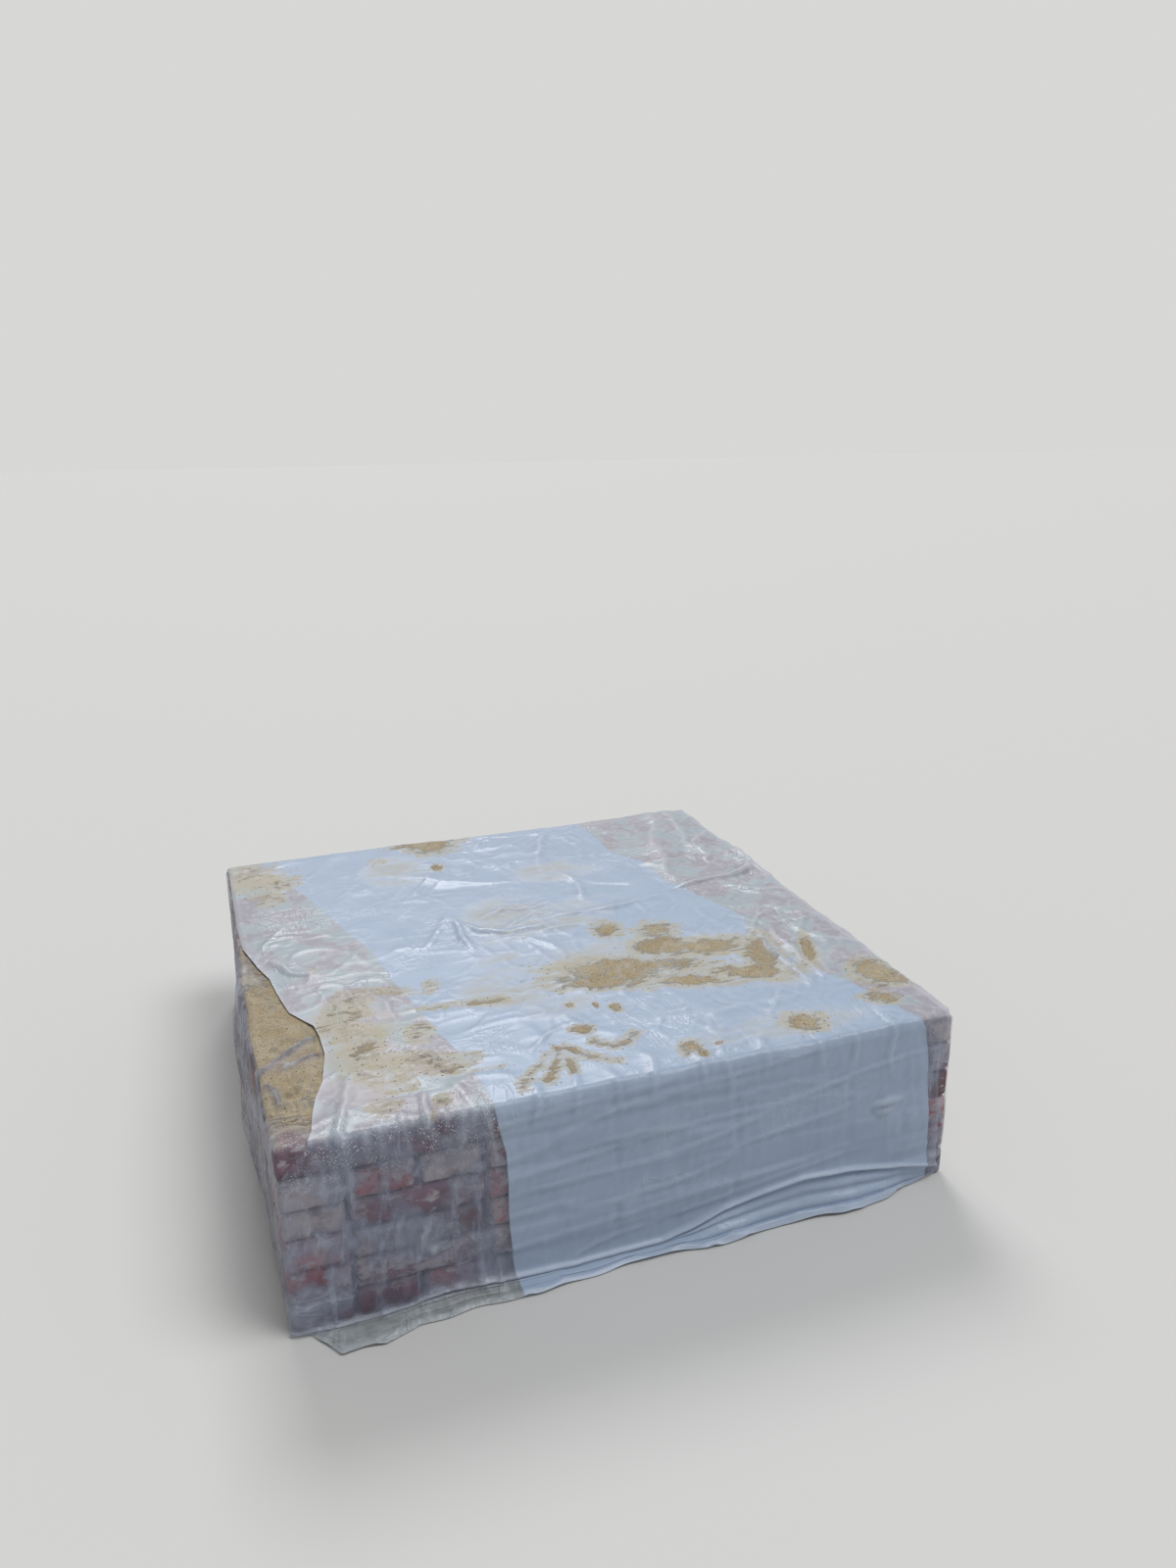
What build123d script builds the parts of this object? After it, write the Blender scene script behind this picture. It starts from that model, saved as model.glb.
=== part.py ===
# A film-wrapped pack of hand-moulded facing bricks that stands on the ground by itself.
# Millimetres, +Z up, front towards -Y, origin at the centre of the pack's underside.
# The layers lie crosswise in turn: one points its bricks at the front, the next at the side.
import os
from math import sin

from build123d import *

os.makedirs("parts", exist_ok=True)

# One brick
brick_length = 188.0
brick_width = 87.0
brick_height = 48.0
arris = 2.5                 # worn edge all round

# How the bricks lie: end to end in rows, with one more row laid across their ends
layer_count = 6
bricks_in_row = 5
across_gap = 3.5            # between ends from left to right
deep_gap = 6.5              # between ends from front to back
least_gap = 1.0             # between long sides, which share out what room is left
step_out = 3.6              # the most that an outer brick stands out of its layer

# Films, which are thin, so their solids are thicker than the real film
film_thickness = 1.0
film_clearance = 0.3        # from the bricks, and from one film to the next
film_corner = 4.0           # inner radius where the film turns over an edge
film_foot = 1.0             # height of the lower edge above the ground
film_land = 0.5             # underside of the loose hem above the ground

# Loose edge of the outer film on the top: distances from the front left corner
loose_edge = [
    (50, 0), (60, 59), (84, 144), (96, 235), (93, 310), (62, 368),
    (45, 470), (26, 560), (12, 660), (8, 800), (4, 1010),
]

# Hem of the outer film in front: share of the width from the left, ridge height, reach
hem_stations = [
    (0.02, 4, 6),
    (0.06, 4, 63),
    (0.12, 5, 63),
    (0.17, 9, 40),
    (0.34, 12, 37),
    (0.53, 11, 29),
    (0.63, 43, 35),
    (0.76, 62, 30),
    (0.85, 56, 38),
    (0.94, 38, 8),
]

# Each brick has a number, and its unevenness comes from the number and its layer
row_numbers = 17            # from one brick to the next one in its row
cross_numbers = 101         # the first brick of the row laid across

# Sizes that follow
stack_height = layer_count * brick_height
pack_width = bricks_in_row * (brick_length + across_gap) + brick_width
pack_depth = bricks_in_row * (brick_length + deep_gap) + brick_width
half_x = pack_width / 2 + step_out + film_clearance
half_y = pack_depth / 2 + step_out + film_clearance
outer_half_x = half_x + film_thickness
outer_half_y = half_y + film_thickness + film_clearance
inner_top = stack_height + film_clearance
outer_top = inner_top + film_thickness + film_clearance


# One brick lying flat, its length along X, centred over its underside
def lying_brick():
    with BuildPart() as brick:
        with BuildSketch():
            Rectangle(brick_length, brick_width)
        extrude(amount=brick_height)
        chamfer(brick.edges(), length=arris)
    return brick.part


# An uneven share between -1 and 1 for one brick
def uneven(layer, number):
    return sin(12.9898 * number + 78.233 * layer)


# Even centres of pieces that fill a stretch from end to end, and the gap between them
def spread(stretch, piece):
    count = int((stretch + least_gap) // (piece + least_gap))
    pitch = (stretch - piece) / (count - 1)
    centres = [n * pitch - (stretch - piece) / 2 for n in range(count)]
    return centres, pitch - piece


# How far a brick with a neighbour on both long sides or ends slips between them
def slip(places, position, gap, layer, number):
    if position in (0, len(places) - 1):
        return 0
    return uneven(layer + 0.5, number) * (gap - least_gap) / 2


# A layer as places along its bricks' length and across it: (along, across, push, turned).
# The bricks' rows start at the low end, and the row laid across closes the high end.
def layer_plan(layer, length_total, width_total, end_gap, whole):
    plan = []
    lanes, side_gap = spread(width_total, brick_width)
    for lane, across in enumerate(lanes):
        for row in range(bricks_in_row):
            number = lane + row_numbers * row
            along = row * (brick_length + end_gap) - (length_total - brick_length) / 2
            edge = (lane == len(lanes) - 1) - (lane == 0)
            outer = row == 0 or edge
            push = step_out * (0.5 + 0.5 * uneven(layer, number)) if outer else 0
            push_along = -push if row == 0 else 0
            push_across = edge * push if row else 0
            shifted = across + slip(lanes, lane, side_gap, layer, number)
            if whole or outer:
                plan.append((along + push_along, shifted + push_across, False))
    crossed, cross_gap = spread(width_total, brick_length)
    for count, across in enumerate(crossed):
        number = cross_numbers + count
        push = step_out * (0.5 + 0.5 * uneven(layer, number))
        shifted = across + slip(crossed, count, cross_gap, layer, number)
        plan.append(((length_total - brick_width) / 2 + push, shifted, True))
    return plan


# Layer that points at the front, its row laid across at the back
def front_layer_places(layer, whole):
    height = (layer - 1) * brick_height
    plan = layer_plan(layer, pack_depth, pack_width, deep_gap, whole)
    return [Location((across, along, height), (0, 0, 0 if turned else 90))
            for along, across, turned in plan]


# Layer that points at the right side, its row laid across at the left
def side_layer_places(layer, whole):
    height = (layer - 1) * brick_height
    plan = layer_plan(layer, pack_width, pack_depth, across_gap, whole)
    return [Location((-along, across, height), (0, 0, 90 if turned else 0))
            for along, across, turned in plan]


# Room inside a layer's outer bricks, as the low and high ends along and across
def layer_room(length_total, width_total, end_gap):
    side_gap = spread(width_total, brick_width)[1]
    low = brick_length + end_gap - length_total / 2
    high = length_total / 2 - brick_width - end_gap
    reach = width_total / 2 - brick_width - side_gap
    return low, high, reach


# Films are hoods: a block with round upright corners and a round top edge
def hood_block(reach_x, reach_y, foot, top, corner):
    with BuildPart() as hood:
        with BuildSketch(Plane.XY.offset(foot)):
            RectangleRounded(2 * reach_x, 2 * reach_y, corner)
        extrude(amount=top - foot)
        fillet(hood.edges().group_by(Axis.Z)[-1], radius=corner)
    return hood.part


# The outer film's bend over front, top and back, as a filled arch along X
def arch_block(reach_x, reach_y, foot, top, corner):
    with BuildPart() as arch:
        with BuildSketch(Plane.YZ.offset(-reach_x)):
            with BuildLine():
                FilletPolyline(
                    (-reach_y, foot), (-reach_y, top), (reach_y, top), (reach_y, foot),
                    radius=corner,
                )
                Line((reach_y, foot), (-reach_y, foot))
            make_face()
        extrude(amount=2 * reach_x)
    return arch.part


# Layers of bricks, counted from the ground: only the top one has its inner bricks too
brick = lying_brick()
for layer in range(1, layer_count + 1):
    whole = layer == layer_count
    layer_places = side_layer_places if layer % 2 == 0 else front_layer_places
    with BuildPart() as brick_layer:
        with Locations(*layer_places(layer, whole)):
            add(brick)
    brick_layer.part.label = f"brick_layer_{layer}"
    export_step(brick_layer.part, f"parts/brick_layer_{layer}.step")

# Hidden bricks inside the lower layers, as one plain core that fills each layer's ring
with BuildPart() as hidden_core:
    for layer in range(1, layer_count):
        if layer % 2 == 0:
            low, high, reach = layer_room(pack_width, pack_depth, across_gap)
            centre, room = (-(low + high) / 2, 0), (high - low, 2 * reach)
        else:
            low, high, reach = layer_room(pack_depth, pack_width, deep_gap)
            centre, room = (0, (low + high) / 2), (2 * reach, high - low)
        with BuildSketch(Plane.XY.offset((layer - 1) * brick_height)):
            with Locations(centre):
                Rectangle(*room)
        extrude(amount=brick_height)
hidden_core.part.label = "hidden_core"
export_step(hidden_core.part, "parts/hidden_core.step")

# Inner film: clear, over the top and down all four sides
with BuildPart() as inner_film:
    add(hood_block(outer_half_x, half_y + film_thickness, film_foot,
                   inner_top + film_thickness, film_corner + film_thickness))
    add(hood_block(half_x, half_y, film_foot, inner_top, film_corner), mode=Mode.SUBTRACT)
inner_film.part.label = "inner_film"
export_step(inner_film.part, "parts/inner_film.step")

# Outer film: up the front, over the top and down the back, with its loose hem in front
with BuildPart() as outer_film:
    add(arch_block(outer_half_x, outer_half_y + film_thickness, film_foot,
                   outer_top + film_thickness, film_corner + 2 * film_thickness))
    add(arch_block(outer_half_x, outer_half_y, film_foot, outer_top,
                   film_corner + film_thickness), mode=Mode.SUBTRACT)
    # the loose edge on the top stands back from the left edge of the pack
    with BuildSketch(Plane.XY.offset(outer_top)):
        with BuildLine():
            edge_points = [(x - outer_half_x, y - half_y) for x, y in loose_edge]
            Spline(*edge_points)
            Polyline(edge_points[-1], (-outer_half_x, edge_points[-1][1]),
                     (-outer_half_x, edge_points[0][1]), edge_points[0])
        make_face()
    extrude(amount=film_thickness, mode=Mode.SUBTRACT)
    # the hem runs from its ridge on the front down and out to the ground
    panel_middle = -outer_half_y - film_thickness / 2
    panel_front = -outer_half_y - film_thickness
    for share, ridge, reach in hem_stations:
        with BuildSketch(Plane.YZ.offset((2 * share - 1) * outer_half_x)):
            with BuildLine():
                Polyline(
                    (panel_middle, ridge),
                    (panel_middle, ridge + film_thickness),
                    (panel_front, ridge + film_thickness),
                    (panel_front - reach, film_land + film_thickness),
                    (panel_front - reach, film_land),
                    (panel_front, ridge),
                    close=True,
                )
            make_face()
    loft(ruled=True)
outer_film.part.label = "outer_film"
export_step(outer_film.part, "parts/outer_film.step")
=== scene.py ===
# Film-wrapped pack of bricks: moulded bricks, the clear inner film, and the banded outer film.
# Metres, +Z up, front towards -Y, in the frame of the CAD model.
from math import cos, pi, radians, sin, tau

import bpy
import numpy as np
from mathutils import Matrix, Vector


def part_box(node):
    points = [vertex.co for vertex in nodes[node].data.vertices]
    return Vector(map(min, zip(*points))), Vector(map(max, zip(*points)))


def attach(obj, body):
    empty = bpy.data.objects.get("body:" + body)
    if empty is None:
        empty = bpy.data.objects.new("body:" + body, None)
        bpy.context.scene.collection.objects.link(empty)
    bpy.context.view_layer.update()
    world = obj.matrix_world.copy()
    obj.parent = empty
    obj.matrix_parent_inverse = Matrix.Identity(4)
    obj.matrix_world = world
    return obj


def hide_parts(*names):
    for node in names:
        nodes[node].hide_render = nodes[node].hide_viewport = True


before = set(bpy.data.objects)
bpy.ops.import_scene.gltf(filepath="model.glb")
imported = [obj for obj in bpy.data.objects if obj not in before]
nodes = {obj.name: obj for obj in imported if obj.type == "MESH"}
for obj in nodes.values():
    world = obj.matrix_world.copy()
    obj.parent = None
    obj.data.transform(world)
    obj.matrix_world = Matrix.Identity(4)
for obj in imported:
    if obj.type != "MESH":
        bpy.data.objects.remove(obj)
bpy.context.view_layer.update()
print("frame loaded", len(nodes), "nodes")

layers = range(1, 7)             # from the ground up
stackLow = np.min([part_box(f"brick_layer_{n}")[0] for n in layers], axis=0)
stackHigh = np.max([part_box(f"brick_layer_{n}")[1] for n in layers], axis=0)
filmLow, filmHigh = (np.array(corner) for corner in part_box("inner_film"))
frontLeft = filmLow[:2]          # places on the top are given from this corner, in millimetres
stackTop = stackHigh[2]


# A smooth step from 0 to 1 as t goes from 0 to 1
def eased(t):
    t = np.clip(t, 0, 1)
    return t * t * (3 - 2 * t)


# Soft noise in 0..1: random values on a lattice, joined by eased steps in both directions
def softNoise(a, b, cellA, cellB, seed):
    size, shift = 64, 1000    # the lattice's side, and cells added to keep places above zero
    lattice = np.random.default_rng(seed).random((size, size))
    placeA, placeB = a / cellA + shift, b / cellB + shift
    lowA, lowB = np.floor(placeA).astype(int), np.floor(placeB).astype(int)
    stepA, stepB = eased(placeA - lowA), eased(placeB - lowB)
    a0, a1, b0, b1 = lowA % size, (lowA + 1) % size, lowB % size, (lowB + 1) % size
    low = lattice[a0, b0] * (1 - stepB) + lattice[a0, b1] * stepB
    high = lattice[a1, b0] * (1 - stepB) + lattice[a1, b1] * stepB
    return low * (1 - stepA) + high * stepA


# Soft noise that changes in one direction only
def softWave(a, cell, seed):
    return softNoise(a, 0 * a, cell, 1, seed)


# Swells: soft noises added up, each row its height, the sizes of its cells and its seed
def swells(a, b, rows):
    return sum(height * softNoise(a, b, *cells) for height, *cells in rows)


# Crest lines added up: a crest runs where a soft noise passes its middle value, and a power
# makes it sharp. A row is its height, its lean either way, the sizes of its cells, its seed and
# that power.
def crestLines(a, b, rows, shiftA=0, shiftB=0):
    total = np.zeros(a.shape)
    for height, leanA, leanB, cellA, cellB, seed, power in rows:
        values = softNoise(a + leanA * b + shiftA, b + leanB * a + shiftB, cellA, cellB, seed)
        total += height * (1 - np.abs(2 * values - 1)) ** power
    return total


# Values read off a table of (place, value) rows, straight from one row to the next
def readOff(at, table):
    return np.interp(at, *zip(*table))


# Distance from each point to a path of straight runs, and how far along it the nearest point
# lies, 0 to 1
def alongPath(a, b, path):
    path = np.array(path, float)
    runs = np.diff(path, axis=0)
    lengths = np.hypot(*runs.T)
    best, share = np.full(a.shape, np.inf), np.zeros(a.shape)
    for start, run, before, length in zip(path, runs, np.cumsum(lengths) - lengths, lengths):
        t = np.clip(((a - start[0]) * run[0] + (b - start[1]) * run[1]) / length ** 2, 0, 1)
        gap = np.hypot(a - start[0] - t * run[0], b - start[1] - t * run[1])
        share = np.where(gap < best, (before + t * length) / lengths.sum(), share)
        best = np.minimum(best, gap)
    return best, share


# Folds added up: a crest along a path, which falls off sharply to both sides and fades at both
# ends. A row is its path, height and width, in millimetres.
def foldsOn(a, b, rows, taller=1.0):
    total, end = np.zeros(a.shape), wrap["foldEnd"]
    for path, height, width in rows:
        gap, share = alongPath(a, b, np.array(path) / 1000)
        fade = np.sin(pi * np.clip(share, end, 1 - end)) ** wrap["foldFade"]
        total += taller * height / 1000 * np.exp(-gap * 1000 / width) * fade
    return total


# Hollows and ridges of a relief on a grid: how far each point lies under or over the mean of
# its neighbours two steps away, as a share of the full depth. They mask painted shade and
# painted highlights.
def hollowsAndRidges(relief, full):
    padded = np.pad(relief, 2, mode="edge")
    around = padded[:-4, 2:-2] + padded[4:, 2:-2] + padded[2:-2, :-4] + padded[2:-2, 4:]
    under = (around / 4 - relief) / full
    return np.clip(under, 0, 1), np.clip(-under, 0, 1)


# Quads of a grid of rows by columns, closed round its columns if asked
def gridFaces(rows, columns, closed=False):
    index = np.arange(rows * columns).reshape(rows, columns)
    right = np.roll(index, -1, axis=1) if closed else index[:, 1:]
    left = index if closed else index[:, :-1]
    quads = np.stack([left[:-1], right[:-1], right[1:], left[1:]], axis=-1)
    return quads.reshape(-1, 4)


# A smooth mesh object from points and quads, with named float attributes on its points
def meshPiece(name, points, quads, attributes=None):
    mesh = bpy.data.meshes.new(name)
    mesh.vertices.add(len(points))
    mesh.vertices.foreach_set("co", points.astype(np.float32).ravel())
    mesh.loops.add(quads.size)
    mesh.loops.foreach_set("vertex_index", quads.astype(np.int32).ravel())
    mesh.polygons.add(len(quads))
    mesh.polygons.foreach_set("loop_start", np.arange(len(quads), dtype=np.int32) * 4)
    mesh.polygons.foreach_set("use_smooth", np.full(len(quads), True))
    mesh.update(calc_edges=True)
    for label, values in (attributes or {}).items():
        layer = mesh.attributes.new(label, "FLOAT", "POINT")
        layer.data.foreach_set("value", values.astype(np.float32).ravel())
    piece = bpy.data.objects.new(name, mesh)
    bpy.context.scene.collection.objects.link(piece)
    return piece


# A film's UV map, in metres, from two values on each point
def addFilmUv(piece, across, along):
    mesh = piece.data
    corner = np.empty(len(mesh.loops), dtype=np.int32)
    mesh.loops.foreach_get("vertex_index", corner)
    uv = np.stack([across.ravel()[corner], along.ravel()[corner]], axis=1)
    mesh.uv_layers.new(name="filmUv").data.foreach_set("uv", uv.astype(np.float32).ravel())


bricks = {
    "round": 0.0075,          # worn edges
    "cuts": (9, 5, 4),        # along the length, width and height, between the worn edges
    "edgeCut": 0.35,          # where each worn edge is cut once more, as a share of it
    "warp": 0.0016,           # how far a moulded face is off its plane, inwards only
    "warpShares": (0.5, 0.28),  # of that, its mean and its swing
    "warpPitches": (0.11, 0.06, 0.031),
    "facePower": 8,           # how close to its edges a face is pulled straight in
    "cadPoints": 96,          # points of one brick in a CAD layer
    "seed": 41,
    # orange-red, red, brown, blue-black, mauve, pink, lime-whitened: tone, share and clay
    "tones": (0.0, 0.15, 0.3, 0.45, 0.6, 0.75, 0.9),
    "toneShares": (0.08, 0.17, 0.12, 0.09, 0.16, 0.19, 0.19),
    "clays": ((0.52, 0.105, 0.06), (0.40, 0.06, 0.05), (0.15, 0.055, 0.052),
              (0.04, 0.038, 0.056), (0.24, 0.10, 0.13), (0.48, 0.20, 0.20), (0.56, 0.49, 0.50)),
    # tones that show in front, layer by layer: the four at the left end, each about a header
    # wide, and the one at the right end
    "header": 0.096,
    "frontDepth": 0.1,
    "frontTones": {
        6: (0.6, 0.6, 0.6, 0.15, 0.6), 5: (0.9, 0.15, 0.9, 0.15, 0.6),
        4: (0.9, 0.6, 0.6, 0.75, 0.9), 3: (0.75, 0.9, 0.3, 0.0, 0.0),
        2: (0.15, 0.6, 0.6, 0.9, 0.9), 1: (0.6, 0.6, 0.75, 0.45, 0.45),
    },
    "lastHeader": 9,          # headers further right than this are the right end
}


# Boxes of the bricks in a CAD layer, whose points come brick by brick
def brickBoxes(layer):
    mesh = nodes[f"brick_layer_{layer}"].data
    points = np.empty(3 * len(mesh.vertices))
    mesh.vertices.foreach_get("co", points)
    points = points.reshape(-1, bricks["cadPoints"], 3)
    return points.min(axis=1), points.max(axis=1)


# One brick on a cube's six gridded faces: a box with rounded edges and corners, where each
# point is the nearest point of a smaller box plus the edge radius along the offset to it
def roundedBrick(size):
    edge = bricks["round"]
    cut = bricks["edgeCut"] * edge
    axes = []
    for half, cuts in zip(size / 2, bricks["cuts"]):
        inner = np.linspace(edge - half, half - edge, cuts)
        axes.append(np.concatenate([[-half, cut - half], inner, [half - cut, half]]))
    points, quads, count = [], [], 0
    for axis in range(3):
        nextAxis, lastAxis = (axis + 1) % 3, (axis + 2) % 3
        a, b = np.meshgrid(axes[nextAxis], axes[lastAxis], indexing="ij")
        for side in (-1, 1):
            face = np.zeros(a.shape + (3,))
            face[..., axis] = side * size[axis] / 2
            face[..., nextAxis], face[..., lastAxis] = a, b
            points.append(face.reshape(-1, 3))
            quads.append((gridFaces(*a.shape)[:, ::side] + count)[:, ::-1])
            count += a.size
    points, quads = np.concatenate(points), np.concatenate(quads)
    unique, where = np.unique(np.round(points, 7), axis=0, return_inverse=True)
    core = np.clip(unique, edge - size / 2, size / 2 - edge)
    offset = unique - core
    reach = np.linalg.norm(offset, axis=1, keepdims=True)
    return core + offset / np.maximum(reach, 1e-9) * edge, where.reshape(-1)[quads]


# Bricks that show in front have the tone seen there, and the others draw theirs by its share
def brickTone(layer, centre, draw):
    drawn = draw.choice(bricks["tones"], p=bricks["toneShares"])
    column = int((centre[0] - frontLeft[0]) // bricks["header"])
    seen = bricks["frontTones"][layer]
    atEnds = column < len(seen) - 1 or column > bricks["lastHeader"]
    if centre[1] < frontLeft[1] + bricks["frontDepth"] and atEnds:
        return seen[min(column, len(seen) - 1)]
    return drawn


# A layer of moulded bricks: the rounded brick in each box, its surface pulled inwards by
# slow waves that differ from brick to brick, with the brick's own tone and lime on its points
def mouldedLayer(layer):
    low, high = brickBoxes(layer)
    draw = np.random.default_rng(bricks["seed"] + layer)
    allPoints, allQuads, tone, lime = [], [], [], []
    span = high - low
    size = np.array([span.max(axis=0).max(), np.sort(span[0])[1], span[0][2]])
    points, quads = roundedBrick(size)
    mean, swing = bricks["warpShares"]
    steep = np.sign(points) * np.abs(points / (size / 2)) ** bricks["facePower"]
    inwards = -steep / np.maximum(np.linalg.norm(steep, axis=1, keepdims=True), 1e-6)
    for count, (lowest, highest) in enumerate(zip(low, high)):
        centre = (lowest + highest) / 2
        alongX = highest[0] - lowest[0] > highest[1] - lowest[1]
        phase = draw.random((3, 4)) * tau
        pull = np.zeros(len(points))
        for row, pitch in enumerate(bricks["warpPitches"]):
            lengthWave = np.sin(tau * points[:, 0] / pitch + phase[row, 0])
            widthWave = np.sin((tau * points[:, 1] + 2 * points[:, 2]) / pitch + phase[row, 1])
            pull += lengthWave * widthWave / (row + 1)
        depth = np.clip(bricks["warp"] * (mean + swing * pull), 0, None)
        bent = points + inwards * depth[:, None]
        if not alongX:
            bent = np.stack([-bent[:, 1], bent[:, 0], bent[:, 2]], axis=1)
        allPoints.append(bent + centre)
        allQuads.append(quads + count * len(points))
        tone.append(np.full(len(points), brickTone(layer, centre, draw)))
        lime.append(np.full(len(points), draw.random()))
    return meshPiece(f"moulded_bricks_{layer}", np.concatenate(allPoints),
                     np.concatenate(allQuads),
                     {"tone": np.concatenate(tone), "lime": np.concatenate(lime)})


# How film lies over the bricks
wrap = {
    "innerDip": 0.0012,       # how deep the inner film dips over a joint
    "outerDip": 0.0008,       # the outer film spans the joints
    "ease": 0.011,            # how far from a brick's edge the dip begins
    "past": 0.002,            # how far past that edge it is level again
    "behind": 0.001,          # a brick this far behind the side's plane carries no film
    "stepOut": 0.0036,        # from the plane to the bricks that stand out most
    "leastGap": 0.0003,       # from the bricks to the film
    "foldEnd": 0.02,          # share of a fold's length that stays open at its ends
    "foldFade": 0.6,          # how full a fold stays towards its ends
}

layerBoxes = [brickBoxes(layer) for layer in layers]
allLow = np.concatenate([low for low, high in layerBoxes])
allHigh = np.concatenate([high for low, high in layerBoxes])
stackHalf = (stackHigh[:2] - stackLow[:2]) / 2 - wrap["stepOut"]


# Height of film over one side of the stack against that side's plane. Over each brick it is
# that brick's own step out, and it eases down by the dip from the brick's edges to its joint.
# With it comes how closely the film lies on: 1 on a brick's face, 0 over a joint.
def brickRelief(places, axisOut, side, dip):
    axes = [axis for axis in range(3) if axis != axisOut]
    outer = allHigh[:, axisOut] if side > 0 else -allLow[:, axisOut]
    step = outer - (*stackHalf, stackTop)[axisOut]
    relief, touch = np.full(places[0].shape, -dip), np.zeros(places[0].shape)
    for n in np.flatnonzero(step > -wrap["behind"]):
        inside = np.minimum.reduce([gap for axis in axes for gap in (
            places[axis] - allLow[n, axis], allHigh[n, axis] - places[axis])])
        rise = eased((inside + wrap["past"]) / wrap["ease"])
        relief = np.maximum(relief, (step[n] + dip) * rise - dip)
        touch = np.maximum(touch, rise)
    return relief, touch


# The same over several sides, each given as its axis, its direction and its share, added up
def overSides(places, sides, dip):
    relief, touch = np.zeros(places[0].shape), np.zeros(places[0].shape)
    for axisOut, side, share in sides:
        height, near = brickRelief(places, axisOut, side, dip)
        relief, touch = relief + share * height, touch + share * near
    return relief, touch


# Points that lie in a brick's rounded box, or nearer to it than the gap, are moved out along
# the line from the nearest point of its smaller inner box
def clearOfBricks(points):
    edge = bricks["round"]
    reach = edge + wrap["leastGap"]
    for low, high in zip(allLow, allHigh):
        centre, half = (low + high) / 2, (high - low) / 2
        inBox = np.abs(points - centre) < half + wrap["leastGap"]
        near = np.flatnonzero(np.all(inBox, axis=1))
        local = points[near] - centre
        core = np.clip(local, edge - half, half - edge)
        away = np.linalg.norm(local - core, axis=1, keepdims=True)
        moved = core + (local - core) / np.maximum(away, 1e-6) * reach
        close = (away > 1e-6) & (away < reach)
        points[near] = centre + np.where(close, moved, local)
    return points


# Sand over the top: 1 in the middle of each patch, 0 at its rim, below 0 outside. A patch is
# (from left, from front, half width, half depth, turn in degrees), in millimetres.
def sandField(x, y, patches, larger=1.0):
    a, b = (x - frontLeft[0]) * 1000, (y - frontLeft[1]) * 1000
    field = np.full(a.shape, -1.0)
    for left, front, halfWide, halfDeep, turn in patches:
        c, s = cos(radians(turn)), sin(radians(turn))
        u, v = (a - left) * c + (b - front) * s, (b - front) * c - (a - left) * s
        field = np.maximum(field, 1 - np.hypot(u / halfWide, v / halfDeep) / larger)
    return field


innerFilm = {
    "around": 1000,           # points round the pack
    "sideRows": 38,
    "edgeRows": 5,
    "rimRows": 30,            # close rows on the top, as far in as the sand lies
    "rim": 0.10,
    "topRows": 12,            # wider rows from there to the middle
    "topSpread": 1.3,
    "pole": 0.004,            # where the last row lies, as a share of the way out
    "corner": 0.007,
    "cornerCuts": 9,
    "foot": 0.0025,
    "setBack": (0.0048, 0.0049),  # from the CAD film's sides and ends
    "gap": 0.0006,
    "hollowShade": 0.0010,         # relief that counts as a full hollow or ridge, for the painted shade and highlights
    # slack on the left side: its height, then middle and half size in height and in depth
    "bulge": 0.030,
    "bulgeHeight": (0.15, 0.16),
    "bulgeDepth": (-0.10, 0.27),
    "bulgeWaves": (31, 9, 0.25),  # radians a metre in depth and in height, and their swing
    # bare of the outer film, this far back from its loose edge and over this width
    "bareFrom": (0.002, 0.016),
    "sideStreaks": [(0.0012, 0, 0.2, 0.021, 0.13, 7, 6)],
    "sideSwells": [(0.0022, 0.14, 0.09, 11)],
    "topCrests": [(0.0012, 0.3, 0, 0.05, 0.03, 13, 8)],
    "topSwells": [(0.0022, 0.05, 0.06, 17)],
    "lumps": [(0.0040, 0.03, 0.022, 109), (0.0024, 0.012, 0.01, 113)],
    # two clear ridges cross the sand, a small one is in front of them and one lies behind
    "ridges": [
        ([(-10, 185), (45, 235), (94, 290)], 11, 4.5), ([(30, 195), (60, 212), (97, 235)], 8, 4),
        ([(8, 170), (20, 140), (22, 90)], 6, 4), ([(0, 500), (20, 620), (12, 800)], 4, 6),
    ],
    # sand in the strip that the outer film leaves bare, the clods in it, and their height
    "sand": [
        (45, 250, 160, 400, 0), (45, 230, 110, 240, 0), (35, 330, 80, 95, -8), (30, 225, 95, 80, 0),
        (32, 130, 80, 75, 10), (10, 420, 40, 80, 0), (12, 600, 20, 90, 0), (40, 985, 45, 80, -10),
        (62, 850, 26, 50, 0),
    ],
    "clods": [
        (50, 138, 10, 8, 20), (38, 128, 6, 6, 0), (29, 101, 14, 8, 10), (46, 104, 7, 6, 0),
        (20, 114, 6, 5, 0), (38, 210, 12, 8, 0), (30, 262, 8, 7, 0), (58, 160, 5, 5, 0),
    ],
    "clodHeight": 0.0075,
    "cleanFront": (0.075, 1.4),  # the sand thins out towards the front, and how far
    "dustFrom": 0.09,
    "dewyFront": (0.12, 0.04),  # the dew goes this far back, and the width over which it fades
}


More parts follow.
